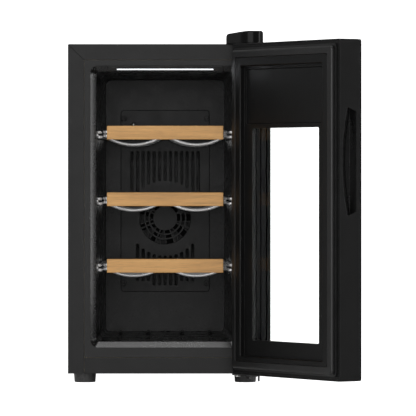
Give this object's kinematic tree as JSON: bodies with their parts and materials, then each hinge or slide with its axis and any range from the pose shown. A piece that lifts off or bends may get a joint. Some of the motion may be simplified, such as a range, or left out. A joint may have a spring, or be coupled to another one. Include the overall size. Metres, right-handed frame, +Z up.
{
  "type": "wine cooler",
  "caption": "Compact free-standing thermoelectric wine cabinet with a glazed side-hung door, sliding wire shelves with wooden fronts, interior lamp and rear cooling unit.",
  "frame": {"origin": "on the floor, under the middle of the cabinet's footprint", "axes": "+Z up, front of the cabinet towards -Y, door hinge on the +X side"},
  "size_m": [0.3745, 0.7027, 0.4605],
  "materials": {
    "shell_paint": "charcoal powder-painted sheet steel, fine satin texture",
    "liner_gloss": "high-gloss black moulded ABS",
    "cover_matte": "dark grey moulded ABS with a fine texture",
    "lamp_lens": "translucent white diffuser, lit",
    "circuit_board": "green solder-masked board",
    "screw_steel": "zinc-plated steel",
    "fan_plastic": "black glass-filled plastic",
    "sink_aluminium": "extruded aluminium",
    "module_ceramic": "white alumina plates",
    "foam": "rigid polyurethane foam",
    "galvanised": "galvanised sheet",
    "soft_rubber": "soft dark grey elastomer",
    "steel_capsule": "bright steel",
    "gloss_black": "gloss black plastic",
    "components": "moulded electronic parts",
    "chrome_wire": "polished chrome-plated wire",
    "oak": "pale oak with a clear satin lacquer",
    "hinge_steel": "blackened steel plate",
    "door_plastic": "black moulded ABS, semi-gloss",
    "clear_glass": "clear float glass",
    "spacer_aluminium": "black anodised aluminium",
    "display": "two-digit display module behind the glass",
    "bush_plastic": "white acetal"
  },
  "bodies": {
    "cabinet": {"base_plate": "shell_paint", "board_posts": "steel_capsule", "bottom_hinge_bracket": "hinge_steel", "cold_block": "sink_aluminium", "cold_fan_frame": "fan_plastic", "cold_pocket": "cover_matte", "cold_sink": "sink_aluminium", "drain_grommet": "soft_rubber", "fan_cover": "cover_matte", "fan_cover_screws": "screw_steel", "foot_front_left": "gloss_black", "foot_front_right": "gloss_black", "foot_rear_left": "gloss_black", "foot_rear_right": "gloss_black", "foot_screws": "screw_steel", "hinge_screws": "screw_steel", "hot_fan_frame": "fan_plastic", "hot_sink": "sink_aluminium", "inlet_pins": "steel_capsule", "inner_liner": "liner_gloss", "insulation_foam": "foam", "lamp_board": "circuit_board", "lamp_housing": "liner_gloss", "lamp_lens": "lamp_lens", "outer_shell": "shell_paint", "peltier_module": "module_ceramic", "power_board": "circuit_board", "power_components": "components", "power_inlet": "gloss_black", "probe_capsule": "steel_capsule", "rear_cover": "cover_matte", "rear_cover_screws": "screw_steel", "rear_partition": "galvanised", "shelf_runners": "chrome_wire", "top_hinge_bracket": "hinge_steel", "top_hinge_cover": "gloss_black"},
    "door": {"door_glass_outer": "clear_glass", "door_glass_inner": "clear_glass", "door_frame": "door_plastic", "door_grip": "door_plastic", "door_bezel": "door_plastic", "door_gasket": "soft_rubber", "gasket_magnets": "screw_steel", "glass_spacer": "spacer_aluminium", "control_cover": "door_plastic", "control_board": "circuit_board", "touch_pads": "steel_capsule", "display_module": "display", "door_bushes": "bush_plastic"},
    "shelf_1": {"shelf_1_wires": "chrome_wire", "shelf_1_front": "oak", "shelf_1_screws": "screw_steel"},
    "shelf_2": {"shelf_2_wires": "chrome_wire", "shelf_2_front": "oak", "shelf_2_screws": "screw_steel"},
    "shelf_3": {"shelf_3_wires": "chrome_wire", "shelf_3_front": "oak", "shelf_3_screws": "screw_steel"},
    "cold_fan": {"cold_fan_rotor": "fan_plastic"},
    "hot_fan": {"hot_fan_rotor": "fan_plastic"}
  },
  "joints": [
    {"name": "door_hinge", "type": "hinge", "parent": "cabinet", "child": "door", "pos_m": [0.1119, -0.2567, 0.2285], "axis": [0, 0, 1], "range_deg": [-121, 14]},
    {"name": "shelf_1_slide", "type": "slide", "parent": "cabinet", "child": "shelf_1", "axis": [0, -1, 0], "range_m": [0, 0.28]},
    {"name": "shelf_2_slide", "type": "slide", "parent": "cabinet", "child": "shelf_2", "axis": [0, -1, 0], "range_m": [0, 0.28]},
    {"name": "shelf_3_slide", "type": "slide", "parent": "cabinet", "child": "shelf_3", "axis": [0, -1, 0], "range_m": [0, 0.28]},
    {"name": "cold_fan_spin", "type": "hinge", "parent": "cabinet", "child": "cold_fan", "pos_m": [0, 0.1175, 0.213], "axis": [0, 1, 0], "continuous": true},
    {"name": "hot_fan_spin", "type": "hinge", "parent": "cabinet", "child": "hot_fan", "pos_m": [0, 0.208, 0.235], "axis": [0, 1, 0], "continuous": true}
  ]
}
